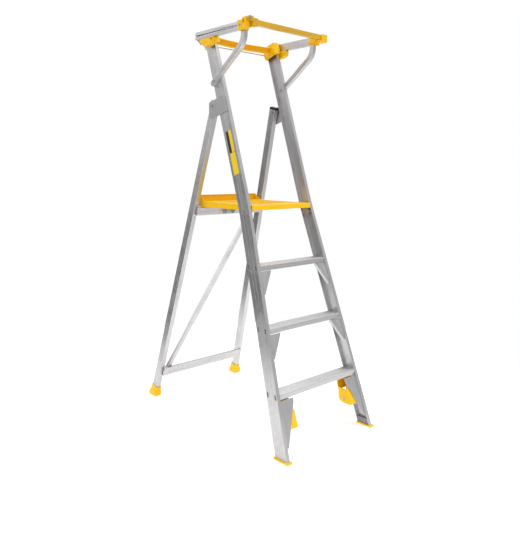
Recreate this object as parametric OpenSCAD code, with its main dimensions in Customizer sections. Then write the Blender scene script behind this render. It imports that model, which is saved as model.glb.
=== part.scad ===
/* [Overall] */
// Rise from one tread to the next, which also puts the platform four rises up
rise = 295; // [280:1:300]
// Number of treads below the platform
treads = 3; // [3:1:3]
// Lean of the front stiles from upright, in degrees
front_lean = 18.2; // [18:0.1:18.4]
// Lean of the rear legs from upright, in degrees
rear_lean = 15.1; // [15:0.1:15.2]
// Depth of the footprint, front pads to rear shoes
base_depth = 1184; // [1180:1:1188]

/* [Front stiles] */
// Depth of the stile channel
stile_d = 74.5; // [73:0.5:75]
// Flange width of the stile channel
stile_w = 20; // [19:0.5:20]
// Wall of the stile channel
stile_t = 3; // [2.5:0.1:3]
// Half width over the stiles above the platform
top_half = 234; // [233.5:0.5:234.5]
// Splay of the stiles below the platform, in degrees
front_splay = 3.95; // [3.9:0.05:4]
// Height at which the stiles bend from splayed to parallel
bend_z = 1186; // [1180:1:1190]
// Height of the stile tops, inside the caps
stile_top_z = 2040; // [2035:1:2045]

/* [Rear frame] */
// Depth of the rear leg tube
leg_d = 45.5; // [44:0.5:46]
// Width of the rear leg tube
leg_w = 28; // [27:0.5:28]
// Half width over the rear legs at the hinge
leg_half = 229; // [228.5:0.5:229]
// Splay of the rear legs, in degrees
rear_splay = 3.18; // [3.1:0.01:3.2]
// Height of the rear frame's hinge
hinge_z = 1695; // [1690:1:1700]

/* [Platform] */
// Half width of the deck
deck_half = 209; // [205:1:209]
// Depth of the deck, nose to kick-up
deck_d = 460; // [450:1:462]
// Height of the toe board at the back
kick_h = 35; // [30:1:36]

/* [Guard rail] */
// Height of the top of the side rails
rail_top_z = 2081; // [2078:1:2084]
// Height of a side rail
rail_h = 40; // [38:0.5:40]
// Width of a side rail
rail_w = 24; // [22:0.5:24]
// Half width over the side rails
rail_half = 272; // [272:0.5:273]
// Side of the square tube of the arms
arm_s = 25; // [22:0.5:25]

/* [Wheels] */
// Radius of a transport wheel
wheel_r = 31; // [29:0.5:31]
// Width of a transport wheel
wheel_w = 34; // [30:1:36]

/* [Hidden] */
$fn = 48;

eps = 0.01;
gap = 0.3;                    // clearance between bodies that pass each other
fit = 0.05;                   // radial clearance of a running fit
far = 3000;                   // reach of a cutting block
front_tan = tan(front_lean);
pad_over = 10;                // how far a front pad stands ahead of its stile
front_y = -base_depth / 2 + pad_over;
stile_h = stile_d / cos(front_lean);         // the channel's depth on the level
bend_s = bend_z / cos(front_lean);
top_s = stile_top_z / cos(front_lean);
splay_slope = tan(front_splay);
pad_t = 7;

platform_z = rise * (treads + 1);
tread_t = 3;
nose = 2.3;
lip_h = 27;
tread_h = 72;

edge_w = 2.5;                  // thickened edge of a flange
edge_t = 1.2;
brace_y = stile_t + edge_t;    // braces and gussets lie behind the flange's thick edge
brace_t = 3;
brace_flange = 4.2;             // the flange on the brace's inner edge
brace_top_z = rise - lip_h - 3;

wheel_x = 231;
wheel_y = front_y + 98;
wheel_z = 155;
axle_r = 5;
housing_x0 = 197;
housing_x1 = 264;
housing_wall = 3;

leg_t = 1.8;
shoe_over = 9.7;               // how far a rear shoe stands behind its leg
rear_tan = tan(rear_lean);
leg_floor_y = base_depth / 2 - shoe_over - leg_d / cos(rear_lean) / 2;
hinge_y = leg_floor_y - hinge_z * rear_tan;
hinge_r = 5;
leg_top = 26;                  // the leg's top edge above the hinge, along the leg
leg_cap_h = 14;
cross_t = 2.5;
cross_h = 44;
cross_flange = 14;
plate_t = 3;

deck_z = platform_z;
deck_front = front_y + 378;
deck_back = deck_front + deck_d;
deck_skirt = 30;
deck_t = 3;
lip_half = 213;                // half width of the deck's front lip
pivot_y = front_y + 425;
pivot_z = 1163;
deck_pin_r = 5;

rail_z = rail_top_z - rail_h;
rail_x = rail_half - rail_w;
rail_back = front_y + 783;
rail_front = front_y + 396;
rail_t = 2;

gate_x = 258;                  // the gate's pivot, left of centre
gate_z = 2086;
gate_r = 13;
gate_y0 = front_y + 354;
gate_d = 26;
gate_h = 27;
gate_end = 246;
gate_pin_r = 4;
latch_y = gate_y0 + gate_d / 2;
latch_z = gate_z - 20;
latch_r = 4;

arm_x = top_half + 0.5 + arm_s / 2;
arm_top_y = front_y + 412;
arm_corner_z = 1984;
arm_bend_r = 80;
arm_slope = 36.2;
arm_end = 310;                 // from the bend's corner to the arm's lower end
arm_bolt = 285;
arm_t = 1.8;
arm_bolt_y = arm_top_y + arm_bolt * cos(arm_slope);
arm_bolt_z = arm_corner_z - arm_bolt * sin(arm_slope);

silver = "#b9babd";
dark_silver = "#8f9094";
yellow = "#f2b600";
black = "#1c1c1e";

// Height of a point to level position on the front face of the stiles
function front_at(z) = front_y + z * front_tan;
// Half width over the stiles at a height
function half_at(z) = top_half + max(0, bend_z - z) / cos(front_lean) * splay_slope;
// Half width over the rear legs at a height
function leg_half_at(z) = leg_half + (hinge_z - z) / cos(rear_lean) * tan(rear_splay);

// Arc points from angle a to angle b
function arc(c, r, a, b, n = 8) =
    [for (i = [0:n]) let (t = a + (b - a) * i / n) c + r * [cos(t), sin(t)]];

// Outline with each corner rounded to radius r
function rounded(p, r, n = 5) = [for (i = [0:len(p) - 1])
    let (a = p[(i + len(p) - 1) % len(p)], b = p[i], c = p[(i + 1) % len(p)],
        u = (a - b) / norm(a - b), v = (c - b) / norm(c - b),
        half = acos(max(-1, min(1, u * v))) / 2,
        reach = min(r / tan(half), norm(a - b) / 2.1, norm(c - b) / 2.1),
        rr = reach * tan(half), m = (u + v) / norm(u + v), o = b + m * rr / sin(half),
        a0 = atan2((b + u * reach - o)[1], (b + u * reach - o)[0]),
        a1 = atan2((b + v * reach - o)[1], (b + v * reach - o)[0]),
        d = ((a1 - a0 + 540) % 360) - 180)
    for (k = [0:n]) o + rr * [cos(a0 + d * k / n), sin(a0 + d * k / n)]];

module right_side() mirror([1, 0, 0]) children();
module both() {
    children();
    mirror([1, 0, 0]) children();
}

// The plane of the front frame: Y is depth behind the stile fronts, Z runs up them
module front_frame() translate([0, front_y, 0]) rotate([-front_lean, 0, 0]) children();

// The left stile's own axes below the bend: X inward from the web, Z up to the bend
module lower_stile() front_frame() translate([-top_half, 0, bend_s])
    rotate([0, front_splay, 0]) children();

// The same axes above the bend
module upper_stile() front_frame() translate([-top_half, 0, bend_s]) children();

// The plane of the rear frame: origin at the hinge, Z up the legs, Y to the rear
module rear_frame() translate([0, hinge_y, hinge_z]) rotate([rear_lean, 0, 0]) children();

// The left rear leg's own axes
module rear_leg_axes() rear_frame() translate([-leg_half, 0, 0])
    rotate([0, rear_splay, 0]) children();

// Extrude a side outline, given in Y and Z, along X from x0 to x1
module side(x0, x1) translate([x0, 0, 0]) rotate([90, 0, 90])
    linear_extrude(x1 - x0) children();

// Extrude a front outline, given in X and Z, along Y from y0 to y1
module front(y0, y1) translate([0, y1, 0]) rotate([90, 0, 0])
    linear_extrude(y1 - y0) children();

module rod_x(r, x0, x1, fn = 48) translate([x0, 0, 0]) rotate([0, 90, 0])
    cylinder(r = r, h = x1 - x0, $fn = fn);
module rod_y(r, y0, y1, fn = 48) translate([0, y0, 0]) rotate([-90, 0, 0])
    cylinder(r = r, h = y1 - y0, $fn = fn);

// Domed rivet head standing on X = 0 towards -X
module rivet(r = 4, h = 1.8, shank = 4) {
    rotate([0, -90, 0]) cylinder(r1 = r, r2 = r * 0.55, h = h, $fn = 24);
    rod_x(r * 0.55, -eps, shank, 24);
}

// Hole for that rivet's shank, through a depth
module rivet_hole(r, depth) rod_x(r * 0.55 + fit, -1, depth, 24);

foot_rivet = 3.2;
gusset_rivet = 4;
bracket_rivet = 3.5;
hinge_rivet = 4.5;
rear_rivet = 3.5;
module at_foot_rivets() for (q = [[71, 44], [27, 42], [73, 18], [22, 20]])
    lower_stile() translate([0, q[0] * cos(front_lean) - q[1] * sin(front_lean),
        (q[0] * sin(front_lean) + q[1] * cos(front_lean) - bend_s) / cos(front_splay)])
        children();
module at_gusset_rivets() for (n = [2:treads]) front_frame() {
    z = n * rise - lip_h - gusset_h + 10;
    translate([-half_at(z) + stile_w - 6, 0, z / cos(front_lean)]) rotate([0, 0, 90])
        children();
}
module at_bracket_rivets() for (q = [[455, 1203], [412, 1211]])
    translate([-top_half + stile_t, front_y + q[0], q[1]]) mirror([1, 0, 0]) children();
module at_hinge_rivets() for (q = [[-60, 8], [-126, -29], [-87, -39], [-98, 38]])
    translate([-top_half - plate_t, hinge_y + q[0], hinge_z + q[1]]) children();
module at_bracket_bolts() for (q = bracket_bolts)
    translate([-half_at(q[1]), front_y + q[0], q[1]]) children();

// Hexagon bolt head with its washer, standing on X = 0 towards -X
module bolt_head(r = 7, h = 5, washer = 9) {
    rotate([0, -90, 0]) cylinder(r = washer, h = 1.5, $fn = 32);
    translate([-1.5 + eps, 0, 0]) rotate([0, -90, 0]) cylinder(r = r, h = h, $fn = 6);
}

// ---- Front stiles -------------------------------------------------------

// Line up a stile at depth c inward from its web's face: top, bend, far below the floor
function stile_line(c) = [[c, top_s - bend_s], [c, -c * tan(front_splay / 2)],
    [c * cos(front_splay) - stile_below * sin(front_splay),
    -c * sin(front_splay) - stile_below * cos(front_splay)]];
stile_below = bend_s * 1.05;

// Bent strip of a stile between depths c0 and c1 and between y0 and y1
module strip(c0, c1, y0, y1) {
    inner = stile_line(c1);
    front(y0, y1) polygon(concat(stile_line(c0), [inner[2], inner[1], inner[0]]));
}

groove = 0.6;                  // shallow grooves down the web's face
module channel() difference() {
    strip(0, stile_w, 0, stile_d);
    strip(stile_t, stile_w - edge_w, stile_t, stile_d - stile_t);
    strip(stile_w - edge_w - 1, stile_w + 1, stile_t + edge_t, stile_d - stile_t - edge_t);
    for (y = [0.36, 0.64] * stile_d) strip(-1, groove, y - 1, y + 1);
}

function slot_depths() = [12.8, 66.5];
slot_w = 8;
slot_len = 26;

// Place children on the web beside each tread: X inward, Z up the stile
module at_slots() for (n = [1:treads], h = slot_depths()) {
    z = n * rise - 11.9;
    s = z / cos(front_lean) + h * sin(front_lean);
    lower_stile() translate([0, h * cos(front_lean), (s - bend_s) / cos(front_splay)])
        children();
}

module obround(w, l) {
    square([w, l - w], center = true);
    for (m = [-1, 1]) translate([0, m * (l - w) / 2]) circle(d = w, $fn = 24);
}

module stile() difference() {
    upper_stile() channel();
    translate([-far / 2, -far / 2, pad_t - far]) cube([far, far, far]);
    at_slots() side(-1, stile_t + 1) obround(slot_w + 1.4, slot_len + 1.4);
    translate([0, arm_bolt_y, arm_bolt_z]) rod_x(3, -top_half - 5, -top_half + 8, 24);
    at_foot_rivets() rivet_hole(foot_rivet, 6);
    at_gusset_rivets() rivet_hole(gusset_rivet, 6);
    at_bracket_rivets() rivet_hole(bracket_rivet, 4);
    at_hinge_rivets() rivet_hole(hinge_rivet, 9);
    at_bracket_bolts() rod_x(3 + fit, -5, 8, 24);
}

module front_stile_left() color(silver) stile();
module front_stile_right() color(silver) right_side() stile();

// ---- Treads -------------------------------------------------------------

// Tread section from nose to back: ribbed top, rolled front lip, short rear lip
tread_ribs = 9;
function tread_outline(back) = concat(
    [for (i = [0:tread_ribs - 1], k = [0:3])
        [2 + (back - 6) * (i + [0.1, 0.3, 0.7, 0.9][k]) / tread_ribs,
        [-1.2, 0, 0, -1.2][k]]],
    [[back, -1.2], [back, -lip_h + 7], [back - 2.5, -lip_h + 7], [back - 2.5, -1.2 - tread_t],
        [nose + 1, -1.2 - tread_t], [nose + 1, -lip_h + 2.5], [nose + 7, -lip_h + 2.5],
        [nose + 7, -lip_h], [0.5, -lip_h], [0.5, -15], [-nose, -13]],
    arc([2.2, -4.5], 4.5, 180, 100, 6));

module step(n) {
    z = n * rise;
    inner = half_at(z) - stile_w - 0.5;
    outer = half_at(z + stile_h * sin(front_lean) * 0.3) - stile_t - 1.6;
    color(silver) translate([0, front_at(z), z]) {
        side(-inner, inner) polygon(tread_outline(tread_h));
        both() side(-outer, -inner + eps) polygon(
            [[4.4, -1.2], [64, -1.2], [64, -4.2], [61, -22], [6, -22], [4.4, -15]]);
    }
}
module step_1() step(1);
module step_2() step(2);
module step_3() step(3);

module step_ferrules() color(dark_silver) both() at_slots() {
    difference() {
        union() {
            side(-1, 0) obround(slot_w + 3.4, slot_len + 3.4);
            side(-eps, stile_t) obround(slot_w + 1, slot_len + 1);
        }
        side(-2, stile_t + 5) obround(slot_w - 1.6, slot_len - 1.6);
    }
}

// ---- Braces, gussets and feet of the front frame ------------------------

// Plate in the plane of the front frame from a list of [x, height] corners
module front_plate(p, y, t) front_frame() front(y, y + t) polygon(
    [for (q = p) [q[0], q[1] / cos(front_lean)]]);

gusset_w = 70;
gusset_h = 112;
module gussets() for (n = [2:treads]) {
    z = n * rise - lip_h + 1;
    a = half_at(z) - stile_w;
    b = half_at(z - gusset_h) - stile_w;
    difference() {
        union() {
            front_plate([[-a - 12, z], [-a + gusset_w, z], [-a + gusset_w, z - 5],
                [-b + 9, z - gusset_h], [-b - 12, z - gusset_h]], brace_y, 2);
            front_plate([[-a + gusset_w - 2.5, z - 1], [-a + gusset_w, z - 1],
                [-a + gusset_w, z - 6], [-b + 9, z - gusset_h], [-b + 7, z - gusset_h],
                [-a + gusset_w - 2.5, z - 7]], brace_y, 16);
        }
        for (k = [0:3]) front_plate([[-a + 17 + k * 4, z - 8], [-a + 19 + k * 4, z - 8],
            [-b + 2.5 + k * 2, z - gusset_h + 24], [-b + 1 + k * 2, z - gusset_h + 24]],
            brace_y - 1, 1.8);
    }
}
module riveted_gussets() color(silver) difference() {
    gussets();
    at_gusset_rivets() rivet_hole(gusset_rivet, 9);
}
module gussets_left() riveted_gussets();
module gussets_right() right_side() riveted_gussets();

brace_in_top = 194;
brace_low_z = 62;
module foot_brace() difference() {
    union() {
        front_plate([[-half_at(brace_top_z) + stile_t + 2.5, brace_top_z],
            [-brace_in_top, brace_top_z], [-brace_in_top - 2, brace_top_z - 20],
            [-half_at(brace_low_z) + 32, brace_low_z],
            [-half_at(brace_low_z) + stile_t + 2.5, brace_low_z]], brace_y, brace_t);
        front_plate([[-brace_in_top - 3, brace_top_z], [-brace_in_top, brace_top_z],
            [-brace_in_top - 2, brace_top_z - 20], [-half_at(brace_low_z) + 32, brace_low_z],
            [-half_at(brace_low_z) + 29, brace_low_z],
            [-brace_in_top - 5, brace_top_z - 20]], brace_y, brace_flange);
    }
    for (q = brace_holes()) front_frame()
        translate([-q[0], 0, q[1] / cos(front_lean)]) rod_y(3, 0, 10, 24);
}
function brace_holes() = [[half_at(200) - 62, 200], [half_at(150) - 44, 150]];
module foot_brace_left() color(dark_silver) foot_brace();
module foot_brace_right() color(dark_silver) right_side() foot_brace();

// Pad under a front foot: tread plate with a rim and ribbed sole
module front_foot() {
    x = half_at(0);
    y0 = front_y - pad_over;
    pad_d = stile_h + 18;
    difference() {
        translate([-x - 7, y0, 0]) linear_extrude(pad_t)
            polygon(rounded([[0, 0], [34, 0], [34, pad_d], [0, pad_d]], 4, 5));
        for (i = [0:6]) translate([-x - 8, y0 + 8 + i * 12.2, -eps])
            cube([36, 4, 1.6]);
    }
}
module front_foot_left() color(yellow) front_foot();
module front_foot_right() color(yellow) right_side() front_foot();

insert_z = 36;
module foot_insert() difference() {
    lower_stile() translate([stile_t, stile_t, -bend_s * 1.05])
        cube([stile_w - stile_t - 3, stile_d - 2 * stile_t, bend_s]);
    translate([-far / 2, -far / 2, pad_t - far]) cube([far, far, far]);
    translate([-far / 2, -far / 2, insert_z]) cube([far, far, far]);
    at_foot_rivets() rivet_hole(foot_rivet, 6);
}
module foot_insert_left() color("#77787c") foot_insert();
module foot_insert_right() color("#77787c") right_side() foot_insert();

// ---- Transport wheels ---------------------------------------------------

// Side outline of the housing, level position behind the stile front and height
housing_round = 35;
housing_open_z = 208;          // above this the inner side and the front are cut away
module housing_outline(o) polygon(concat([[52 + o, 130]],
    arc([98, 130 + housing_round], housing_round - o, -90, -10, 10),
    [[136 - o, 196], [150 - o, 240 - o], [152 - o, 259 - o], [95 + o, 259 - o]]));

module wheel_housing() difference() {
    translate([0, front_y, 0]) difference() {
        side(-housing_x1, -housing_x0) housing_outline(0);
        side(-housing_x1 + housing_wall, -housing_x0 - housing_wall) {
            housing_outline(housing_wall);
            translate([56, 100]) square([50, 40]);
            translate([92, 100]) square([50, 95]);
        }
    }
    translate([-housing_x0 - 10, front_y + 60, housing_open_z]) cube([11, 80, 60]);
    translate([-housing_x1 + 8, front_y + 60, housing_open_z + 8]) cube([70, 46, 60]);
    translate([0, wheel_y, wheel_z])
        rod_x(axle_r, -housing_x1 - 1, -housing_x0 + 1);
}
module wheel_housing_left() color(yellow) wheel_housing();
module wheel_housing_right() color(yellow) right_side() wheel_housing();

module wheel_axles() color(dark_silver) both() translate([0, wheel_y, wheel_z]) {
    rod_x(axle_r, -housing_x1 - 2, -housing_x0 + 2);
    for (x = [-housing_x1 - 3, -housing_x0 + 1.5])
        rod_x(axle_r + 3, x, x + 1.5);
}

// Wheel on its axle: tyre with rounded shoulders, dished sides and a hub
module wheel() rotate([0, 90, 0]) rotate_extrude($fn = 72) polygon(concat(
    [[axle_r + fit, -wheel_w / 2 + 3], [axle_r + 7, -wheel_w / 2 + 3],
        [axle_r + 8, -wheel_w / 2 + 8], [wheel_r - 10, -wheel_w / 2 + 8],
        [wheel_r - 9, -wheel_w / 2]],
    arc([wheel_r - 5, -wheel_w / 2 + 5], 5, -90, 0, 4),
    arc([wheel_r - 5, wheel_w / 2 - 5], 5, 0, 90, 4),
    [[wheel_r - 9, wheel_w / 2], [wheel_r - 10, wheel_w / 2 - 8],
        [axle_r + 8, wheel_w / 2 - 8], [axle_r + 7, wheel_w / 2 - 3],
        [axle_r + fit, wheel_w / 2 - 3]]));
module wheel_left() color(yellow) translate([-wheel_x, wheel_y, wheel_z]) wheel();
module wheel_right() color(yellow) translate([wheel_x, wheel_y, wheel_z]) wheel();

// ---- Guard rail ---------------------------------------------------------

cap_x0 = 199;
cap_z0 = 2020;
cap_z1 = 2083;
cap_over = 8;
cap_outer_z = 2038;            // where the cap's outer side ends
shelf_y0 = front_y + 622;
shelf_y1 = front_y + 746;

module cap() difference() {
    union() {
        front_frame() difference() {
            translate([0, 0, cap_z0 / cos(front_lean)]) linear_extrude(
                (cap_z1 - cap_z0) / cos(front_lean)) polygon(rounded(
                [[-rail_x + gap, -cap_over], [-cap_x0, -cap_over],
                [-cap_x0, stile_d + 13], [-rail_x + gap, stile_d + 13]], 6, 5));
            translate([-top_half - gap, -gap, cap_z0])
                cube([stile_w + 2 * gap, stile_d + 2 * gap, top_s - cap_z0 + gap]);
            translate([-rail_x - 1, -cap_over - 1, cap_z0])
                cube([rail_x - top_half + 1, far, cap_outer_z / cos(front_lean) - cap_z0]);
            translate([-cap_x0 - 12, -cap_over - 1, cap_z0 / cos(front_lean) - 1])
                rotate([0, 45, 0]) cube([24, far, 10]);
        }
        side(-rail_half, -rail_x + 1) polygon(rounded(
            [[shelf_y0, rail_z - gap], [shelf_y0 + 4, rail_z - 30], [shelf_y0 + 40, rail_z - 42],
            [shelf_y0 + 82, rail_z - 42], [shelf_y1, rail_z - 14], [shelf_y1, rail_z - gap]],
            5, 4));
    }
    side(-rail_half - 1, -rail_half + 7) polygon(
        [[shelf_y0 + 8, rail_z - 5], [shelf_y0 + 12, rail_z - 27],
        [shelf_y0 + 40, rail_z - 5]]);
    translate([-rail_half - 1, shelf_y1 - 42, rail_z - 20]) rod_x(3, 0, 12, 24);
    translate([0, tie_y, tie_z]) rod_x(tie_r + fit, -rail_half - 1, -cap_x0 + 1);
}
module cap_left() color(yellow) cap();
module cap_right() color(yellow) right_side() cap();

// Bar across the back at waist height, bowed outward, with a lengthwise ridge
belly_chord = cap_x0 + 8;       // past the caps' faces, where the bar is trimmed
belly_bow = 26;
belly_r = (belly_chord * belly_chord + belly_bow * belly_bow) / (2 * belly_bow);
belly_a = asin(belly_chord / belly_r);
belly_z = 2040;
belly_y = front_y + 706;
belly_h = 38;
module belly_bar() color(yellow) difference() {
    translate([0, belly_y + belly_bow - belly_r, belly_z])
        rotate([0, 0, 90 - belly_a]) rotate_extrude(angle = 2 * belly_a, $fn = 180)
            translate([belly_r, 0]) difference() {
                polygon(rounded([[-15, -belly_h / 2], [5, -belly_h / 2 + 3], [9, -4],
                    [9, 4], [5, belly_h / 2 - 3], [-15, belly_h / 2]], 4, 4));
                polygon(rounded([[-17, -belly_h / 2 + 5], [1, -belly_h / 2 + 8], [4, 0],
                    [1, belly_h / 2 - 8], [-17, belly_h / 2 - 5]], 2, 3));
            }
    both() translate([-cap_x0 - far, -far / 2, belly_z - far / 2]) cube([far, far, far]);
}

// Thin rod behind the bar, let into a short post that goes up into each side rail
tie_r = 3;
tie_post_r = 3.4;
tie_z = 2020;
tie_y = front_y + 752;
tie_end = rail_half - rail_w / 2;
tie_lean = 48;                 // of the posts from upright
tie_up = 34;                   // length of a post above the rod
module tie_rod() color(dark_silver) {
    translate([0, tie_y, tie_z]) rod_x(tie_r, -tie_end, tie_end, 24);
    both() translate([-tie_end, tie_y, tie_z]) rotate([-tie_lean, 0, 0])
        translate([0, 0, -4]) cylinder(r = tie_post_r, h = tie_up + 4, $fn = 24);
}

// Side rail: rectangular tube, notched below where the tie rod enters
module side_rail() difference() {
    side(-rail_half, -rail_x) translate([rail_front, rail_z])
        square([rail_back - rail_front, rail_h]);
    side(-rail_half + rail_t, -rail_x - rail_t) translate([rail_front - 1, rail_z + rail_t])
        square([rail_back - rail_front + 2, rail_h - 2 * rail_t]);
    translate([-tie_end - tie_r - 1, tie_y + 8, rail_z - 1])
        cube([2 * tie_r + 2, rail_back - tie_y, rail_t + 2]);
    for (y = [rail_back - 8, rail_front + 20])
        translate([0, y, rail_z + rail_h / 2]) rod_x(2.5, -rail_half - 1, -rail_half + 4, 24);
}
module side_rail_left() color(silver) side_rail();
module side_rail_right() color(silver) right_side() side_rail();

sleeve_t = 4;
sleeve_len = 36;
// Sleeve round the front end of a side rail, open to the rear, with the arm's seat
module rail_sleeve() {
    translate([-arm_x - arm_s / 2 - 2, rail_front - 5, rail_z - sleeve_t])
        cube([arm_s + 4, sleeve_len + 4, sleeve_t]);
    rail_socket();
}
module rail_socket() difference() {
    translate([-rail_half - sleeve_t, rail_front - 6, rail_z - sleeve_t])
        rotate([-90, 0, 0]) translate([0, -rail_h - 2 * sleeve_t, 0])
            linear_extrude(sleeve_len + 6) polygon(rounded([[0, 0],
                [rail_w + 2 * sleeve_t, 0], [rail_w + 2 * sleeve_t, rail_h + 2 * sleeve_t],
                [0, rail_h + 2 * sleeve_t]], 4, 4));
    translate([-rail_half, rail_front, rail_z]) cube([rail_w, far, rail_h]);
}

// Left corner: sleeve, head with a side window, and the gate's fixed knuckle
module corner_left() color(yellow) difference() {
    union() {
        rail_sleeve();
        front(gate_y0 + 17, rail_front - 5) polygon(rounded(
            [[-rail_half - 8, rail_z - 2], [-rail_x + 1, rail_z - 2],
            [-rail_x + 1, gate_z + 8], [-rail_half - 8, gate_z + 8]], 5, 4));
        translate([-gate_x, 0, gate_z]) rod_y(gate_r, gate_y0 + 17, rail_front);
    }
    translate([-gate_x, 0, gate_z]) rod_y(gate_pin_r, gate_y0, rail_front + 10);
    translate([-rail_half - 10, gate_y0 + 21, rail_z + 22]) cube([11, 14, 20]);
}

// Right corner: sleeve, latch block, rest under the gate's end, bolted tongue
latch_x1 = rail_half + 20;
module corner_right() color(yellow) difference() {
    union() {
        right_side() rail_sleeve();
        front(gate_y0 - 6, rail_front - 5) polygon(rounded(
            [[gate_end + 2, rail_z + 6], [latch_x1, rail_z + 6],
            [latch_x1, gate_z + 2], [gate_end + 2, gate_z + 2]], 6, 5));
        translate([gate_end - 12, gate_y0, gate_z - gate_h - 6.5]) cube([20, gate_d, 6]);
        side(rail_x - 7, rail_x) polygon(rounded(
            [[rail_front - 8, rail_z + 6], [rail_front + 46, rail_z + 6],
            [rail_front + 46, rail_z + 28], [rail_front - 8, rail_z + 28]], 5, 4));
    }
    translate([0, latch_y, latch_z]) rod_x(latch_r + fit, gate_end, latch_x1 + 1);
}

// Side outline of an arm: upright below the corner, then bent back down to the stile.
// w is half its width, over lengthens both ends
module arm_outline(w, over = 0) {
    turn = 90 - arm_slope;
    reach = arm_bend_r * tan(turn / 2);
    top = rail_z - sleeve_t - arm_corner_z + over;
    along = [cos(arm_slope), -sin(arm_slope)];
    across = [-sin(arm_slope), -cos(arm_slope)] * w;
    foot = along * (arm_end + over);
    polygon(concat([[-w, top]], arc([arm_bend_r, reach], arm_bend_r + w, 180, 180 + turn, 16),
        [foot + across, foot - across],
        arc([arm_bend_r, reach], arm_bend_r - w, 180 + turn, 180, 16), [[w, top]]));
}
module arm() difference() {
    translate([0, arm_top_y, arm_corner_z]) difference() {
        side(-arm_x - arm_s / 2, -arm_x + arm_s / 2) arm_outline(arm_s / 2);
        side(-arm_x - arm_s / 2 + arm_t, -arm_x + arm_s / 2 - arm_t)
            arm_outline(arm_s / 2 - arm_t, 1);
    }
    translate([0, arm_bolt_y, arm_bolt_z]) rod_x(3, -top_half - arm_s - 5, -top_half, 24);
}
module arm_left() color(silver) arm();
module arm_right() color(silver) right_side() arm();

module arm_bolts() color(dark_silver) both() {
    translate([0, arm_bolt_y, arm_bolt_z]) {
        rod_x(3, -top_half - arm_s - 1, -top_half + stile_t + 1, 24);
        translate([-top_half - arm_s - 0.5, 0, 0]) bolt_head(6, 4.5, 8);
        translate([-top_half + stile_t, 0, 0]) mirror([1, 0, 0]) bolt_head(6.5, 5.5, 9);
    }
    translate([-rail_half - sleeve_t, rail_front + 18, rail_z + rail_h / 2])
        bolt_head(5, 3.5, 6.5);
}

// ---- Hinge of the rear frame --------------------------------------------

// Plate riveted on the stile's web; its tail carries the leg's pivot bolt
module hinge_plate() color(dark_silver) difference() {
    translate([0, hinge_y, hinge_z]) side(-top_half - plate_t, -top_half) polygon(rounded(
        [[-134, -33], [-109, 40], [-90, 49], [-16, 27], [25, 17], [22, -66], [-7, -73],
        [-62, -54]], 6, 4));
    translate([0, hinge_y, hinge_z]) rod_x(hinge_r + fit, -top_half - 9, -top_half + 9);
    at_hinge_rivets() rivet_hole(hinge_rivet, 9);
}
module hinge_plate_left() hinge_plate();
module hinge_plate_right() right_side() hinge_plate();

module hinge_bolts() color(dark_silver) both() translate([0, hinge_y, hinge_z]) {
    rod_x(hinge_r, -top_half - plate_t - 1, -leg_half + leg_w + 8);
    translate([-top_half - plate_t, 0, 0]) bolt_head(8.5, 6, 11);
    translate([-leg_half + leg_w + 2.5, 0, 0]) mirror([1, 0, 0]) bolt_head(8.5, 7, 11);
}

module hinge_rivets() color(silver) both() at_hinge_rivets() rivet(hinge_rivet, 2.2, 8.5);

bush_gap = 0.6;                 // room for the splay of the leg's face
module hinge_bushes() color("#d8d8d4") both() translate([0, hinge_y, hinge_z])
    difference() {
        rod_x(9, -top_half + gap, -leg_half - bush_gap);
        rod_x(hinge_r + fit, -top_half - 1, -leg_half + 1);
    }

// ---- Platform and its brackets ------------------------------------------

bracket_x = 216;
bracket_t = 3;
bracket_bolts = [[434, 1128], [393, 1134]];
module bracket() color(dark_silver) difference() {
    union() {
        translate([0, front_y, 0]) side(-bracket_x - bracket_t, -bracket_x) polygon(rounded(
            [[384, 1122], [400, 1112], [433, 1112], [440, 1124], [444, 1172], [438, 1177],
            [412, 1177], [400, 1160]], 7, 4));
        for (q = bracket_bolts) translate([0, front_y + q[0], q[1]])
            rod_x(7, -half_at(q[1]) + stile_t + 1.5, -bracket_x - 1, 32);
    }
    for (q = bracket_bolts) translate([0, front_y + q[0], q[1]])
        rod_x(3, -half_at(q[1]), -bracket_x + 1, 24);
    translate([0, pivot_y, pivot_z]) rod_x(deck_pin_r, -bracket_x - 9, -bracket_x + 9);
}
module platform_bracket_left() bracket();
module platform_bracket_right() right_side() bracket();

module platform_bolts() color(silver) both() for (q = bracket_bolts)
    translate([0, front_y + q[0], q[1]]) {
        rod_x(3, -half_at(q[1]) - 1, -bracket_x + 1, 24);
        translate([-half_at(q[1]) - 0.4, 0, 0]) bolt_head(4.5, 3, 5.5);
        translate([-bracket_x, 0, 0]) mirror([1, 0, 0]) rotate([0, -90, 0])
            cylinder(r = 4, h = 1.6, $fn = 6);
    }

module platform_pins() color(dark_silver) both() translate([0, pivot_y, pivot_z]) {
    rod_x(deck_pin_r, -bracket_x - bracket_t, -deck_half + 4);
    rod_x(deck_pin_r + 3, -deck_half + 3.5, -deck_half + 6);
}

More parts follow.
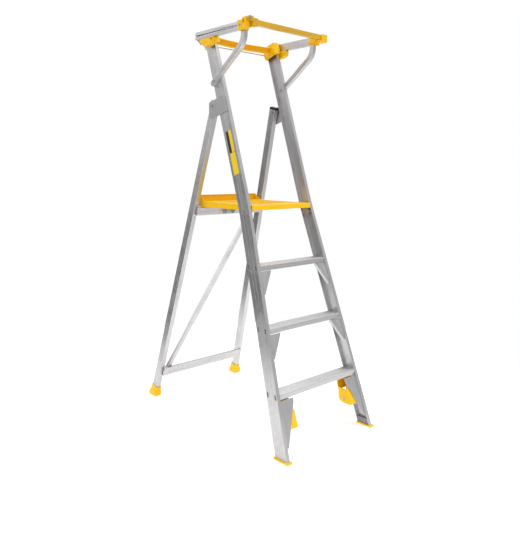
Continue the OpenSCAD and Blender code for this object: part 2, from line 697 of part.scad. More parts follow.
module platform_deck() color(yellow) difference() {
    union() {
        translate([-deck_half, deck_front + 6, deck_z - deck_t])
            cube([2 * deck_half, deck_d - 6, deck_t]);
        side(-lip_half, lip_half) polygon(concat(
            arc([deck_front + 6, deck_z - 6], 6, 90, 180, 6),
            [[deck_front, deck_z - 27], [deck_front + 3, deck_z - 27],
            [deck_front + 3, deck_z - 7], [deck_front + 7, deck_z - 3],
            [deck_front + 8, deck_z - 3], [deck_front + 8, deck_z]]));
        both() side(-deck_half, -deck_half + 3) polygon(
            [[deck_front + 4, deck_z - 27], [deck_front + 20, deck_z - deck_skirt],
            [deck_back, deck_z - deck_skirt], [deck_back, deck_z + kick_h],
            [deck_back - 9, deck_z + kick_h], [deck_back - 56, deck_z],
            [deck_front + 4, deck_z]]);
        side(-deck_half, deck_half) polygon(
            [[deck_back - 3, deck_z - deck_skirt], [deck_back, deck_z - deck_skirt],
            [deck_back, deck_z + kick_h], [deck_back - 9, deck_z + kick_h],
            [deck_back - 9, deck_z + kick_h - 2], [deck_back - 3, deck_z + kick_h - 2]]);
        for (y = [120, 240, 350]) translate([-deck_half + 2, deck_front + y, deck_z - 22])
            cube([2 * deck_half - 4, 3, 20]);
    }
    translate([0, pivot_y, pivot_z])
        rod_x(deck_pin_r + fit, -deck_half - 1, deck_half + 1);
    for (x = [-140:40:140], y = [110, 200])
        translate([x - 8, deck_front + y - 70, deck_z - deck_t - 1]) cube([16, 4, 9]);
}

// Cleated tread panel on the deck
module deck_grip() color("#e0a800") {
    translate([-155, deck_front + 70, deck_z]) cube([310, 290, 0.8]);
    for (i = [0:15], j = [0:7]) translate([-148 + i * 19.2, deck_front + 80 + j * 35, deck_z])
        linear_extrude(2) polygon([[0, 4], [5, 0], [10, 4], [10, 18], [5, 22], [0, 18]]);
}

tongue_x = -30;
tongue_y = front_y + 765;
module deck_tongue() color(silver) {
    translate([tongue_x - 19, tongue_y, deck_z - deck_skirt - 14])
        cube([38, 3, deck_skirt + 11 - eps]);
    translate([tongue_x - 19, tongue_y - 14, deck_z - deck_t - 2]) cube([38, 15, 2]);
}

// ---- Gate ---------------------------------------------------------------

gate_lug_d = 16.7;
module gate_bar() color(yellow) difference() {
    union() {
        front(gate_y0, gate_y0 + gate_lug_d) difference() {
            union() {
                translate([-gate_x, gate_z]) circle(r = gate_r);
                translate([-gate_x, gate_z - 11]) square([20, 22]);
            }
            translate([-gate_x, gate_z]) circle(r = gate_pin_r + fit);
        }
        front(gate_y0, gate_y0 + gate_d) polygon(rounded(
            [[-gate_x + 15.5, gate_z - 39], [-gate_x + 52, gate_z - 33],
            [-gate_x + 52, gate_z + 2], [-gate_x + 44, gate_z + 4],
            [-gate_x + 15.5, gate_z + 4]], 3, 3));
        side(-gate_x + 50, gate_end) translate([gate_y0, gate_z - gate_h]) polygon(rounded(
            [[0, 0], [gate_d, 0], [gate_d, gate_h], [0, gate_h]], 5, 5));
    }
    side(-gate_x + 56, gate_end - 4) translate([gate_y0 + 2, gate_z - gate_h + 2])
        square([gate_d - 4, gate_h - 4]);
}

module gate_pin() color(dark_silver) translate([-gate_x, 0, gate_z]) {
    rod_y(gate_pin_r, gate_y0 - 1, rail_front + 1);
    rod_y(gate_pin_r + 3, gate_y0 - 3.5, gate_y0 - 0.5);
}

module latch_pin() color(black) translate([0, latch_y, latch_z]) {
    rod_x(latch_r, gate_end + 2.5, latch_x1 + 2);
    rod_x(7, latch_x1 + 0.5, latch_x1 + 12);
    rod_x(8.5, latch_x1 + 8, latch_x1 + 11);
}

// ---- Rivets and labels --------------------------------------------------

// Fasteners along the front frame: feet, gussets, foot braces, brackets
module frame_rivets() color(silver) both() {
    at_foot_rivets() rivet(foot_rivet, 1.4, 5);
    for (q = brace_holes()) front_frame()
        translate([-q[0], brace_y, q[1] / cos(front_lean)]) rotate([0, 0, 90]) rivet(4, 1.6, 3);
    at_gusset_rivets() rivet(gusset_rivet, 1.6, brace_y + 2.2);
    at_bracket_rivets() rivet(bracket_rivet, 1.6, 2);
}

module label(s0, s1) color(yellow) front_frame() side(-top_half - 0.5, -top_half)
    polygon(rounded([[15, s0], [57, s0], [57, s1], [15, s1]], 2, 3));
module label_upper() label(1535, 1650);
module label_lower() label(1416, 1532);

// ---- Rear frame ---------------------------------------------------------

// Distance up the legs' front faces for a height
function rear_s(z) = (z - hinge_z + leg_d / 2 * sin(rear_lean)) / cos(rear_lean);

module leg_section() translate([0, -leg_d / 2])
    polygon(rounded([[0, 0], [leg_w, 0], [leg_w, leg_d], [0, leg_d]], 2, 3));

leg_len = hinge_z / cos(rear_lean) * 1.01;
leg_low_z = 8;
module below(z) translate([-far / 2, -far / 2, z - far]) cube([far, far, far]);

module rear_leg() difference() {
    rear_leg_axes() translate([0, 0, -leg_len]) linear_extrude(leg_len + leg_top - leg_cap_h)
        difference() {
            leg_section();
            translate([leg_t, -leg_d / 2 + leg_t]) square([leg_w - 2 * leg_t, leg_d - 2 * leg_t]);
            for (y = [-0.16, 0.16] * leg_d) translate([-0.7, y]) circle(r = 1.2, $fn = 16);
        }
    below(leg_low_z);
    translate([0, hinge_y, hinge_z]) rod_x(hinge_r + fit, -far / 2, far / 2);
}
module rear_leg_left() color(silver) rear_leg();
module rear_leg_right() color(silver) right_side() rear_leg();

module leg_cap() color(black) rear_leg_axes() translate([0, 0, leg_top - leg_cap_h]) {
    linear_extrude(leg_cap_h) leg_section();
    translate([leg_t, -leg_d / 2 + leg_t, -3]) cube([leg_w - 2 * leg_t, leg_d - 2 * leg_t, 4]);
}
module leg_cap_left() leg_cap();
module leg_cap_right() right_side() leg_cap();

// Boot on the foot of a rear leg, with a broad ribbed sole
boot_h = 58;
shoe_round = 0.62;             // what the rounding takes off the sole's rear corner
module rear_foot() color(yellow) difference() {
    union() {
        rear_leg_axes() translate([-4, 0, -leg_len]) linear_extrude(
            leg_len - (hinge_z - boot_h) / cos(rear_lean)) translate([0, -leg_d / 2 - 4])
                polygon(rounded([[0, 0], [leg_w + 8, 0], [leg_w + 8, leg_d + 8],
                [0, leg_d + 8]], 5, 4));
        translate([-leg_half_at(0) - 5, 0, 0]) side(0, leg_w + 10) polygon(rounded(
            [[leg_floor_y - 34, 0], [base_depth / 2 - 5, 0], [base_depth / 2 + shoe_round, 12],
            [base_depth / 2 - 8, 34], [leg_floor_y - 38, 34], [leg_floor_y - 40, 12]], 7, 4));
    }
    below(0);
    difference() {
        rear_leg_axes() translate([0, 0, -leg_len]) linear_extrude(leg_len) leg_section();
        below(leg_low_z);
    }
    for (i = [0:5]) translate([-leg_half_at(0) - 6, leg_floor_y - 28 + i * 10, -eps])
        cube([leg_w + 12, 3, 1.6]);
}
module rear_foot_left() rear_foot();
module rear_foot_right() right_side() rear_foot();

// Crossbar on the legs' front faces, web to the front, from height z0 to z1
module crossbar(half, z0, z1) color(silver) rear_frame() translate([0, -leg_d / 2, 0]) difference() {
    side(-half, half) polygon(
        [[0, rear_s(z0)], [-cross_flange, rear_s(z0)],
        [-cross_flange, rear_s((z0 + z1) / 2) - 1.5],
        [-cross_flange + 0.8, rear_s((z0 + z1) / 2)],
        [-cross_flange, rear_s((z0 + z1) / 2) + 1.5], [-cross_flange, rear_s(z1)],
        [0, rear_s(z1)], [0, rear_s(z1) - cross_t], [cross_t - cross_flange, rear_s(z1) - cross_t],
        [cross_t - cross_flange, rear_s(z0) + cross_t], [0, rear_s(z0) + cross_t]]);
    for (q = rear_rivet_places) translate([q[0], -cross_flange, rear_s(q[1])])
        rotate([0, 0, 90]) rivet_hole(rear_rivet, cross_t + 1);
}

upper_top = deck_z - deck_skirt - 0.5;
lower_z = 132;
lower_h = 48;
module upper_crossbar()
    crossbar(leg_half_at(upper_top) - leg_w / 2, upper_top - cross_h, upper_top);
module lower_crossbar()
    crossbar(leg_half_at(lower_z) - leg_w + 6, lower_z, lower_z + lower_h);

// Angle section from the lower left to the upper right, behind the crossbars
diag_from = [-281, lower_z + 16];
diag_to = [172, upper_top - 12];
module diagonal_brace() color(silver) {
    run = diag_to[0] - diag_from[0];
    climb = rear_s(diag_to[1]) - rear_s(diag_from[1]);
    rear_frame() translate([diag_from[0], -leg_d / 2, rear_s(diag_from[1])])
        rotate([0, atan2(run, climb), 0]) linear_extrude(norm([run, climb]))
            polygon([[0, 0], [24, 0], [24, 2], [2, 2], [2, 20], [0, 20]]);
}

// Rivets through the crossbars: a list of [x, height]
rear_rivet_places = [[-200, 168], [-165, 168], [125, 168], [158, 168], [-262, 150],
    [180, 1128], [-244, 1128], [244, 1128], [-244, 1116], [244, 1116], [287, 150]];
module rear_rivets() color(silver) rear_frame() for (q = rear_rivet_places)
    translate([q[0], -leg_d / 2 - cross_flange, rear_s(q[1])]) rotate([0, 0, 90])
        rivet(rear_rivet, 1.6, 3);

keeper_half = 28;
module platform_keeper() color(dark_silver) rear_frame()
    translate([tongue_x, -leg_d / 2 - cross_flange, 0]) {
        side(-keeper_half, keeper_half) translate([-2.5, rear_s(upper_top - cross_h + 2)])
            square([2.5, cross_h / cos(rear_lean) - 12]);
        for (x = [-keeper_half, keeper_half - 3])
            side(x, x + 3) translate([0, rear_s(upper_top - cross_h + 8)]) polygon(rounded(
                [[0, 0], [-26, 4], [-36, 20], [-26, 29], [0, 26]], 4, 4));
    }

front_stile_left();
front_stile_right();
step_1();
step_2();
step_3();
step_ferrules();
gussets_left();
gussets_right();
foot_brace_left();
foot_brace_right();
front_foot_left();
front_foot_right();
foot_insert_left();
foot_insert_right();
wheel_housing_left();
wheel_housing_right();
wheel_axles();
wheel_left();
wheel_right();
cap_left();
cap_right();
belly_bar();
tie_rod();
side_rail_left();
side_rail_right();
corner_left();
corner_right();
arm_left();
arm_right();
arm_bolts();
hinge_plate_left();
hinge_plate_right();
hinge_bolts();
hinge_rivets();
platform_bracket_left();
platform_bracket_right();
platform_bolts();
platform_pins();
label_upper();
label_lower();
gate_pin();
frame_rivets();
rear_leg_left();
rear_leg_right();
leg_cap_left();
leg_cap_right();
upper_crossbar();
lower_crossbar();
diagonal_brace();
rear_foot_left();
rear_foot_right();
rear_rivets();
platform_keeper();
hinge_bushes();
platform_deck();
deck_grip();
deck_tongue();
gate_bar();
latch_pin();
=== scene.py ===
"""Looks of the folding platform step ladder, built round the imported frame."""

import math

import bmesh
import bpy
import numpy as np
from mathutils import Matrix, Vector


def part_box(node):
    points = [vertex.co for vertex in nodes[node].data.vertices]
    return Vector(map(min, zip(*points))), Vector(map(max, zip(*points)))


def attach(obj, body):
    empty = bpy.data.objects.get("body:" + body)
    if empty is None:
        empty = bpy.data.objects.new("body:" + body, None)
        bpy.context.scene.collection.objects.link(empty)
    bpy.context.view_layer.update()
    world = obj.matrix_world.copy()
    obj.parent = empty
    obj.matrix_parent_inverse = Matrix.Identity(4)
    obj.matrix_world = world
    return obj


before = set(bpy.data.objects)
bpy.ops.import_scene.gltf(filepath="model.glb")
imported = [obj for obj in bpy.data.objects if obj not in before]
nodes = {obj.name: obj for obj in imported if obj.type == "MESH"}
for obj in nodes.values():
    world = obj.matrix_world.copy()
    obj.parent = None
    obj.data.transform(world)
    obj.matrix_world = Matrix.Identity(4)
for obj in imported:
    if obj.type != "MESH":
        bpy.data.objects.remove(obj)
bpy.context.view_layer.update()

FRONT_LEAN = 18.2        # degrees, the stiles from upright
REAR_LEAN = -15.1        # degrees, the rear legs from upright
STILE_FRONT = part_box("front_stile_left")[0].y    # the stiles' front edge, at the floor
SAME_POINT = 0.00001     # points of a CAD mesh closer than this are one


# ---- Camera --------------------------------------------------------------

CAMERA_PLACE = (-2.1825, -2.422, 1.3615)
CAMERA_YAW = -42.283
CAMERA_PITCH = -5.366
CAMERA_ROLL = 0.588
CAMERA_LENS = 38.64
CAMERA_SENSOR = 36
CAMERA_SHIFT = (0.00127, -0.09164)


def make_camera():
    """The camera at the photographed angle, held upright but for a small roll."""
    yaw, pitch, roll = map(math.radians, (CAMERA_YAW, CAMERA_PITCH, CAMERA_ROLL))
    ahead = Vector((-math.sin(yaw) * math.cos(pitch), math.cos(yaw) * math.cos(pitch),
                    math.sin(pitch)))
    right = Vector((math.cos(yaw), math.sin(yaw), 0))
    up = right.cross(ahead)
    level_right = right * math.cos(roll) + up * math.sin(roll)
    level_up = up * math.cos(roll) - right * math.sin(roll)
    data = bpy.data.cameras.new("camera")
    data.sensor_width = CAMERA_SENSOR
    data.lens = CAMERA_LENS
    data.sensor_fit = "AUTO"
    data.shift_x, data.shift_y = CAMERA_SHIFT
    camera = bpy.data.objects.new("camera", data)
    bpy.context.scene.collection.objects.link(camera)
    turn = Matrix((level_right, level_up, -ahead)).transposed()
    camera.matrix_world = Matrix.Translation(CAMERA_PLACE) @ turn.to_4x4()
    bpy.context.scene.camera = camera


make_camera()


# ---- Node helpers --------------------------------------------------------

EDGE_TURN = (0.98, 0.80)     # cosine of the rounded normal's turn, from flat to a worn edge


class Graph:
    """The node tree of a material or world, with one short call for each kind of node."""

    def __init__(self, owner, shader="Principled BSDF"):
        owner.use_nodes = True
        self.owner = owner
        self.tree = owner.node_tree
        self.shader = self.tree.nodes[shader]

    def node(self, kind, **settings):
        made = self.tree.nodes.new(kind)
        for key, value in settings.items():
            setattr(made, key, value)
        return made

    def link(self, source, target):
        self.tree.links.new(source, target)

    def feed(self, socket, source):
        """Drive one of the shader's sockets."""
        self.link(source, self.shader.inputs[socket])

    def fix(self, **numbers):
        """Set shader sockets that are the same all over, named with _ for a space."""
        for key, number in numbers.items():
            self.shader.inputs[key.replace("_", " ")].default_value = number

    def place(self, scale=(1, 1, 1), turn=(0, 0, 0)):
        """Points of the object, turned by degrees and then scaled."""
        coords = self.node("ShaderNodeTexCoord")
        first = self.node("ShaderNodeMapping")
        first.inputs["Rotation"].default_value = [math.radians(a) for a in turn]
        second = self.node("ShaderNodeMapping")
        second.inputs["Scale"].default_value = scale
        self.link(coords.outputs["Object"], first.inputs["Vector"])
        self.link(first.outputs["Vector"], second.inputs["Vector"])
        return second.outputs["Vector"]

    def part(self, vector, axis):
        """One coordinate of a vector."""
        parts = self.node("ShaderNodeSeparateXYZ")
        self.link(vector, parts.inputs["Vector"])
        return parts.outputs[axis]

    def depth(self):
        """Depth behind the front faces of the stiles, square to them."""
        back = self.part(self.place(turn=(FRONT_LEAN, 0, 0)), "Y")
        return self.maths("SUBTRACT", back, STILE_FRONT * math.cos(math.radians(FRONT_LEAN)))

    def noise(self, vector, scale=1.0, detail=3.0, rough=0.55):
        made = self.node("ShaderNodeTexNoise")
        made.inputs["Scale"].default_value = scale
        made.inputs["Detail"].default_value = detail
        made.inputs["Roughness"].default_value = rough
        self.link(vector, made.inputs["Vector"])
        return made.outputs["Fac"]

    def span(self, value, low, high, to_low=0.0, to_high=1.0, curve="LINEAR"):
        """value from low..high onto to_low..to_high, clamped."""
        made = self.node("ShaderNodeMapRange", interpolation_type=curve)
        for key, number in (("From Min", low), ("From Max", high),
                            ("To Min", to_low), ("To Max", to_high)):
            made.inputs[key].default_value = number
        self.link(value, made.inputs["Value"])
        return made.outputs["Result"]

    def maths(self, operation, a, b):
        made = self.node("ShaderNodeMath", operation=operation)
        for index, value in enumerate((a, b)):
            if isinstance(value, (int, float)):
                made.inputs[index].default_value = value
            else:
                self.link(value, made.inputs[index])
        return made.outputs["Value"]

    def mix(self, factor, a, b):
        """Colour a where factor is 0 and colour b where it is 1."""
        made = self.node("ShaderNodeMix", data_type="RGBA")
        self.link(factor, made.inputs["Factor"])
        for socket, value in ((made.inputs[6], a), (made.inputs[7], b)):
            if isinstance(value, tuple):
                socket.default_value = (*value, 1)
            else:
                self.link(value, socket)
        return made.outputs[2]

    def tint(self, factor, amount, tone, colour):
        """tone moved towards colour by amount where factor is 1."""
        return self.mix(self.maths("MULTIPLY", factor, amount), tone, colour)

    def edges(self, radius):
        """1 along sharp edges and 0 on flat surfaces, with the normal rounded over them."""
        bevel = self.node("ShaderNodeBevel", samples=4)
        bevel.inputs["Radius"].default_value = radius
        geometry = self.node("ShaderNodeNewGeometry")
        dot = self.node("ShaderNodeVectorMath", operation="DOT_PRODUCT")
        self.link(bevel.outputs["Normal"], dot.inputs[0])
        self.link(geometry.outputs["Normal"], dot.inputs[1])
        return self.span(dot.outputs["Value"], *EDGE_TURN), bevel.outputs["Normal"]

    def bump(self, height, strength, distance, normal):
        """Feed the shader a normal with the height's relief on it."""
        made = self.node("ShaderNodeBump")
        made.inputs["Strength"].default_value = strength
        made.inputs["Distance"].default_value = distance
        self.link(height, made.inputs["Height"])
        self.link(normal, made.inputs["Normal"])
        self.feed("Normal", made.outputs["Normal"])


def new_graph(name):
    return Graph(bpy.data.materials.new(name))


def shade(colour, factor, lift=0.0):
    """A colour made darker or lighter, and lifted towards white."""
    return tuple(min(1.0, factor * c + lift) for c in colour)


# ---- Materials -----------------------------------------------------------

DIE_LINES = 900        # die lines to a metre, across the section
DIE_LENGTH = 6         # how often they change along it
SCRATCHES = 260
SCRATCH_LENGTH = 30
SCRATCH_SLANT = (7, 4)     # degrees off the section, so that scratches cross the die lines


def along_axis(axis, across, along):
    """Noise scales for marks drawn out along one axis."""
    return [along if index == axis else across for index in range(3)]


def metal(name, colour, rough, lean=0.0, along=2, edge=0.0010):
    """Extruded metal: die lines along the section, handling smudges, scratches, bright edges.
    lean is the section's angle from upright in degrees; along is the axis the lines run on."""
    g = new_graph(name)
    turn = (lean, 0, 0)
    slant = (lean + SCRATCH_SLANT[0], SCRATCH_SLANT[1], 0)
    dies = g.noise(g.place(along_axis(along, DIE_LINES, DIE_LENGTH), turn), detail=2.0)
    smudge = g.noise(g.place(turn=turn), scale=9.0, detail=5.0, rough=0.62)
    marks = g.place(along_axis(along, SCRATCHES, SCRATCH_LENGTH), slant)
    scratch = g.span(g.noise(marks, detail=4.0, rough=0.7), 0.66, 0.73)
    worn, rounded = g.edges(edge)
    tone = g.mix(g.span(dies, 0.35, 0.65), shade(colour, 0.84), shade(colour, 1.10))
    tone = g.mix(g.span(smudge, 0.50, 0.78, 0.0, 0.30), tone, shade(colour, 0.66))
    tone = g.tint(scratch, 0.35, tone, shade(colour, 1.3))
    g.feed("Base Color", g.tint(worn, 0.45, tone, shade(colour, 1.35)))
    roughness = g.span(dies, 0.3, 0.7, rough - 0.05, rough + 0.06)
    roughness = g.maths("ADD", roughness, g.span(smudge, 0.45, 0.75, 0.0, 0.14))
    g.feed("Roughness", g.maths("SUBTRACT", roughness, g.maths("MULTIPLY", worn, 0.10)))
    height = g.maths("SUBTRACT", dies, g.maths("MULTIPLY", scratch, 0.6))
    g.bump(height, 0.22, 0.0002, rounded)
    g.fix(Metallic=1.0)
    return g.owner


def plastic(name, colour, rough=0.42, grain=1400.0, edge=0.0016, scuff=0.30, grain_bump=0.16):
    """Moulded plastic: fine spark-eroded grain, faint flow marks, scuffs and paler edges."""
    g = new_graph(name)
    fine = g.noise(g.place(), scale=grain, detail=2.0, rough=0.5)
    flow = g.noise(g.place((1, 1, 0.35)), scale=14.0, detail=4.0, rough=0.6)
    scuffs = g.noise(g.place(turn=(20, 33, 12)), scale=90.0, detail=5.0, rough=0.72)
    marks = g.span(scuffs, 0.60, 0.74)
    worn, rounded = g.edges(edge)
    tone = g.mix(g.span(flow, 0.35, 0.70), shade(colour, 0.94), colour)
    tone = g.tint(marks, scuff * 0.35, tone, shade(colour, 0.55))
    g.feed("Base Color", g.tint(worn, 0.32, tone, shade(colour, 0.86, 0.08)))
    roughness = g.span(fine, 0.3, 0.7, rough - 0.05, rough + 0.07)
    g.feed("Roughness", g.maths("ADD", roughness, g.maths("MULTIPLY", marks, 0.16)))
    g.bump(g.maths("ADD", fine, g.maths("MULTIPLY", flow, 0.4)), grain_bump, 0.0003, rounded)
    g.fix(Specular_IOR_Level=0.35)
    return g.owner


def powder_coat(name, colour):
    """Painted tube: orange-peel surface under a light gloss, chipped on its edges."""
    bare = (0.40, 0.39, 0.38)
    g = new_graph(name)
    peel = g.noise(g.place(), scale=420.0, detail=2.0, rough=0.45)
    flow = g.noise(g.place((0.3, 1, 1)), scale=16.0, detail=4.0)
    worn, rounded = g.edges(0.0016)
    chip = g.span(g.noise(g.place(), scale=160.0, detail=4.0, rough=0.7), 0.60, 0.66)
    tone = g.mix(g.span(flow, 0.35, 0.7), shade(colour, 0.88), colour)
    g.feed("Base Color", g.mix(g.maths("MULTIPLY", worn, g.maths("MULTIPLY", chip, 0.8)), tone, bare))
    g.feed("Roughness", g.span(peel, 0.3, 0.7, 0.26, 0.38))
    g.bump(peel, 0.12, 0.0004, rounded)
    g.fix(Coat_Weight=0.25, Coat_Roughness=0.18)
    return g.owner


def tread_metal(name, colour):
    """Aluminium tread: lengthwise ribs in the mesh, with fine serrations pressed across them."""
    g = new_graph(name)
    teeth = g.node("ShaderNodeTexWave", wave_type="BANDS", bands_direction="X")
    teeth.inputs["Scale"].default_value = 55.0
    teeth.inputs["Distortion"].default_value = 0.4
    g.link(g.place(), teeth.inputs["Vector"])
    normal = g.node("ShaderNodeNewGeometry").outputs["Normal"]
    upward = g.span(g.part(normal, "Z"), 0.80, 0.97)
    dies = g.noise(g.place(along_axis(0, DIE_LINES, DIE_LENGTH)), detail=2.0)
    dirt = g.noise(g.place(), scale=26.0, detail=5.0, rough=0.65)
    worn, rounded = g.edges(0.0008)
    soiled = g.maths("MULTIPLY", upward, g.span(dirt, 0.45, 0.75, 0.0, 0.45))
    tone = g.mix(g.span(dies, 0.35, 0.65), shade(colour, 0.86), colour)
    tone = g.mix(soiled, tone, shade(colour, 0.5))
    g.feed("Base Color", g.tint(worn, 0.5, tone, shade(colour, 1.3)))
    roughness = g.span(dies, 0.3, 0.7, 0.34, 0.44)
    g.feed("Roughness", g.maths("ADD", roughness, g.maths("MULTIPLY", soiled, 0.4)))
    serrated = g.maths("MULTIPLY", teeth.outputs["Fac"], upward)
    g.bump(g.maths("ADD", serrated, g.maths("MULTIPLY", dies, 0.12)), 0.6, 0.0006, rounded)
    g.fix(Metallic=1.0)
    return g.owner


LABEL_SPLIT = 0.035     # metres behind the stiles' front, where the label's ink begins
GRIME = (0.30, 0.27, 0.20)


def label_film(name, field, ink=None):
    """Blank printed film with no words: a plain field, its rear half inked where ink is given."""
    g = new_graph(name)
    grime = g.noise(g.place(), scale=60.0, detail=5.0, rough=0.65)
    print_tone = g.noise(g.place(), scale=700.0, detail=2.0, rough=0.5)
    tone = g.mix(g.span(print_tone, 0.3, 0.7), shade(field, 0.94), field)
    if ink:
        tone = g.mix(g.maths("GREATER_THAN", g.depth(), LABEL_SPLIT), tone, ink)
    g.feed("Base Color", g.mix(g.span(grime, 0.5, 0.8, 0.0, 0.22), tone, GRIME))
    g.feed("Roughness", g.span(grime, 0.3, 0.7, 0.24, 0.42))
    worn, rounded = g.edges(0.0006)
    g.bump(g.maths("ADD", grime, worn), 0.08, 0.0002, rounded)
    return g.owner


ALUMINIUM = (0.58, 0.575, 0.58)
DARK_ALUMINIUM = (0.50, 0.50, 0.51)
ZINC = (0.48, 0.48, 0.49)
YELLOW = (0.94, 0.54, 0.0)
# The gate's yellow is the moulding yellow darkened by about a quarter: painted shade on the gate bar,
# over its real paint colour.
GATE_YELLOW_SHADED = (0.68, 0.38, 0.0)
BLACK = (0.018, 0.018, 0.020)
GREY = (0.26, 0.26, 0.265)
LABEL_YELLOW = (0.85, 0.62, 0.02)
LABEL_BLACK = (0.015, 0.015, 0.015)
DRAWN = 0.34            # roughness of drawn aluminium

stile_metal = metal("stile_aluminium", ALUMINIUM, DRAWN, FRONT_LEAN)
leg_metal = metal("leg_aluminium", ALUMINIUM, DRAWN, REAR_LEAN)
cross_metal = metal("crossbar_aluminium", ALUMINIUM, DRAWN, along=0)
rail_metal = metal("rail_aluminium", ALUMINIUM, DRAWN, along=1)
plate_metal = metal("plate_aluminium", DARK_ALUMINIUM, 0.42, FRONT_LEAN)
fastener_metal = metal("zinc_fasteners", ZINC, 0.32, edge=0.0005)
tread = tread_metal("tread_aluminium", ALUMINIUM)
yellow = plastic("yellow_moulding", YELLOW)
grip = plastic("yellow_grip", shade(YELLOW, 0.90), rough=0.55, grain=900.0, edge=0.0006,
               scuff=0.6, grain_bump=0.3)
gate_paint_and_shade = powder_coat("gate_paint_and_shade", GATE_YELLOW_SHADED)
black = plastic("black_moulding", BLACK, rough=0.46, scuff=0.2)
grey = plastic("grey_moulding", GREY, rough=0.60)
upper_film = label_film("upper_label_film", LABEL_YELLOW, LABEL_BLACK)
lower_film = label_film("lower_label_film", LABEL_YELLOW)

LOOKS = (
    (stile_metal, ("front_stile", "gussets", "arm_left", "arm_right")),
    (leg_metal, ("rear_leg", "diagonal_brace", "deck_tongue")),
    (cross_metal, ("upper_crossbar", "lower_crossbar")),
    (rail_metal, ("side_rail",)),
    (plate_metal, ("foot_brace", "hinge_plate", "platform_bracket", "platform_keeper",
                   "step_ferrules")),
    (tread, ("step_1", "step_2", "step_3")),
    (fastener_metal, ("arm_bolts", "hinge_bolts", "hinge_rivets", "platform_bolts",
                      "platform_pins", "gate_pin", "frame_rivets", "rear_rivets", "tie_rod",
                      "wheel_axles")),
    (yellow, ("cap_", "corner_", "belly_bar", "wheel_housing", "wheel_left", "wheel_right",
              "front_foot", "rear_foot", "platform_deck")),
    (grip, ("deck_grip",)),
    (gate_paint_and_shade, ("gate_bar",)),
    (black, ("leg_cap", "latch_pin")),
    (grey, ("foot_insert", "hinge_bushes")),
    (upper_film, ("label_upper",)),
    (lower_film, ("label_lower",)),
)


def look_of(node):
    """The material whose list holds this node's name or the start of it."""
    for material, starts in LOOKS:
        if node.startswith(starts):
            return material
    raise ValueError(f"no material for {node}")


# ---- Edges of the CAD nodes ----------------------------------------------

SHARP_ANGLE = 34        # degrees, a bend sharper than this gets a rounded edge
FINE_EDGE = 0.0004      # edge width of the nodes that ROUND doesn't name
ROUND = {"platform_deck": 0.0014, "gate_bar": 0.0012, "cap_": 0.0040, "corner_": 0.0024,
         "wheel_housing": 0.0012, "front_foot": 0.0012, "rear_foot": 0.0014,
         "front_stile": 0.0009, "arm_": 0.0020, "rear_leg": 0.0008, "side_rail": 0.0012,
         "belly_bar": 0.0010, "leg_cap": 0.0012}


def dress(node, obj):
    """Give a CAD node its material, and soften its machined edges."""
    obj.data.materials.clear()
    obj.data.materials.append(look_of(node))
    weld = obj.modifiers.new("weld", "WELD")
    weld.merge_threshold = SAME_POINT
    bevel = obj.modifiers.new("bevel", "BEVEL")
    bevel.width = next((w for start, w in ROUND.items() if node.startswith(start)), FINE_EDGE)
    bevel.segments = 2
    bevel.limit_method = "ANGLE"
    bevel.angle_limit = math.radians(SHARP_ANGLE)
    bevel.use_clamp_overlap = True
    bevel.harden_normals = False
    normals = obj.modifiers.new("normals", "WEIGHTED_NORMAL")
    normals.keep_sharp = False
    normals.weight = 60


for node_name, node_object in nodes.items():
    dress(node_name, node_object)


# ---- Black pieces in the ferrules, painted shade for their dark hollows ---

SLOT_SHADE_HALF_WIDTH = 0.0031
SLOT_SHADE_HALF_LENGTH = 0.0121
# The black piece's rings from its back to its dished face: depth below the rim, inset from the side.
SLOT_SHADE_RINGS = ((0.0026, 0.0), (0.0011, 0.0), (0.0008, 0.0005), (0.0008, 0.0012), (0.0010, 0.0016))


def islands(obj):
    """The points of each separate solid in a node's mesh, in the mesh's own order."""
    shape = bmesh.new()
    shape.from_mesh(obj.data)
    bmesh.ops.remove_doubles(shape, verts=shape.verts, dist=SAME_POINT)
    shape.verts.index_update()
    seen, groups = set(), []
    for first in shape.verts:
        if first.index in seen:
            continue
        seen.add(first.index)
        found = [first]
        for vert in found:
            for edge in vert.link_edges:
                other = edge.other_vert(vert)
                if other.index not in seen:
                    seen.add(other.index)
                    found.append(other)
        groups.append(np.array([vert.co for vert in found]))
    shape.free()
    return groups


def obround(half_width, half_length, steps=10):
    """Outline of a slot: a half circle at each end of the second axis."""
    reach = half_length - half_width
    outline = []
    for start, end in ((0, reach), (math.pi, -reach)):
        for step in range(steps):
            angle = start + math.pi * step / (steps - 1)
            outline.append((half_width * math.cos(angle), half_width * math.sin(angle) + end))
    return outline


def slot_shade_axes(points):
    """A ferrule's own directions: across it, up its long axis and out of the stile."""
    axes = np.linalg.svd(points - points.mean(0), full_matrices=False)[2]
    up = axes[0] * math.copysign(1, axes[0][2])
    out = axes[2] * math.copysign(1, axes[2][0] * points.mean(0)[0])
    return np.cross(up, out), up, out


def add_slot_shade(shape, points):
    """One black piece of painted shade in the ferrule with these points."""
    centre = (points.max(0) + points.min(0)) / 2
    across, up, out = slot_shade_axes(points)
    rim = ((points - centre) @ out).max()
    rings = []
    for depth, inset in SLOT_SHADE_RINGS:
        outline = obround(SLOT_SHADE_HALF_WIDTH - inset, SLOT_SHADE_HALF_LENGTH - inset)
        rings.append([shape.verts.new(centre + across * u + up * v + out * (rim - depth))
                      for u, v in outline])
    for low, high in zip(rings, rings[1:]):
        for k in range(len(low)):
            after = (k + 1) % len(low)
            shape.faces.new((low[k], low[after], high[after], high[k]))
    shape.faces.new(rings[-1])
    shape.faces.new(rings[0][::-1])


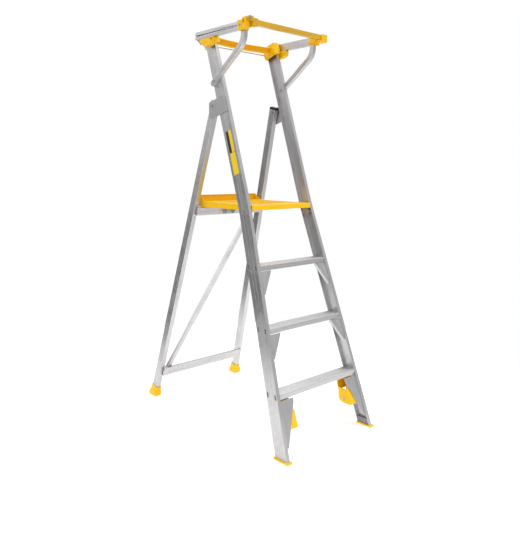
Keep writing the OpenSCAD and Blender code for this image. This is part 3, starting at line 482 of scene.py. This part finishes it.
def make_slot_shades():
    """A black piece let into each ferrule, just below its rim, with a dished face: painted shade
    where the hollow ferrule is dark inside.
    """
    shape = bmesh.new()
    for points in islands(nodes["step_ferrules"]):
        add_slot_shade(shape, points)
    bmesh.ops.recalc_face_normals(shape, faces=shape.faces)
    mesh = bpy.data.meshes.new("painted_slot_shade")
    shape.to_mesh(mesh)
    shape.free()
    # The black plastic on these pieces is painted shade for the dark inside of each ferrule.
    mesh.materials.append(black)
    slot_shade_object = bpy.data.objects.new("painted_slot_shade", mesh)
    bpy.context.scene.collection.objects.link(slot_shade_object)
    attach(slot_shade_object, "front_frame")


make_slot_shades()


# ---- Floor and light -----------------------------------------------------

FLOOR_RADIUS = 1.9
FLOOR_DROP = 0.0005     # the floor lies this far below the feet
FLOOR_GLOW = 0.22       # keeps the floor's shadows nearly white
WHITE = (1, 1, 1, 1)

# Parts of the white surround with another level: where, from and to what closeness, its level.
PATCHES = (((-0.67, 0.74, -0.32), 0.74, 0.97, 0.08),
           ((-0.60, 0.66, 0.48), 0.78, 0.98, 1.80),
           ((0.66, -0.72, 0.20), 0.55, 0.98, 0.62))

SUN_STRENGTH = 1.2
SUN_WIDTH = 30          # degrees
SUN_AIM = (-0.35, 0.35, -0.87)


def make_floor():
    """A plain pale round floor."""
    mesh = bpy.data.meshes.new("floor")
    shape = bmesh.new()
    bmesh.ops.create_circle(shape, cap_ends=True, radius=FLOOR_RADIUS, segments=128)
    shape.to_mesh(mesh)
    shape.free()
    floor = bpy.data.objects.new("floor", mesh)
    floor.location.z = -FLOOR_DROP
    bpy.context.scene.collection.objects.link(floor)
    g = new_graph("pale_floor")
    g.fix(Base_Color=(0.94, 0.94, 0.94, 1), Roughness=0.9, Emission_Color=WHITE,
          Emission_Strength=FLOOR_GLOW)
    mesh.materials.append(g.owner)


def make_surround():
    """A white surround with dimmer and brighter patches."""
    world = bpy.data.worlds.new("surround")
    bpy.context.scene.world = world
    g = Graph(world, "Background")
    ray = g.node("ShaderNodeTexCoord").outputs["Generated"]
    level = 1.0
    for aim, low, high, there in PATCHES:
        toward = g.node("ShaderNodeVectorMath", operation="DOT_PRODUCT")
        toward.inputs[1].default_value = Vector(aim).normalized()
        g.link(ray, toward.inputs[0])
        patch = g.span(toward.outputs["Value"], low, high, 1.0, there, "SMOOTHSTEP")
        level = g.maths("MULTIPLY", level, patch)
    g.feed("Strength", level)
    g.fix(Color=WHITE)


def make_sun():
    """A broad soft sun from the right front, high up."""
    light = bpy.data.lights.new("sun", "SUN")
    light.energy = SUN_STRENGTH
    light.angle = math.radians(SUN_WIDTH)
    lamp = bpy.data.objects.new("sun", light)
    bpy.context.scene.collection.objects.link(lamp)
    lamp.rotation_mode = "QUATERNION"
    lamp.rotation_quaternion = Vector(SUN_AIM).to_track_quat("-Z", "Y")


make_floor()
make_surround()
make_sun()
bpy.context.scene.view_settings.view_transform = "Standard"
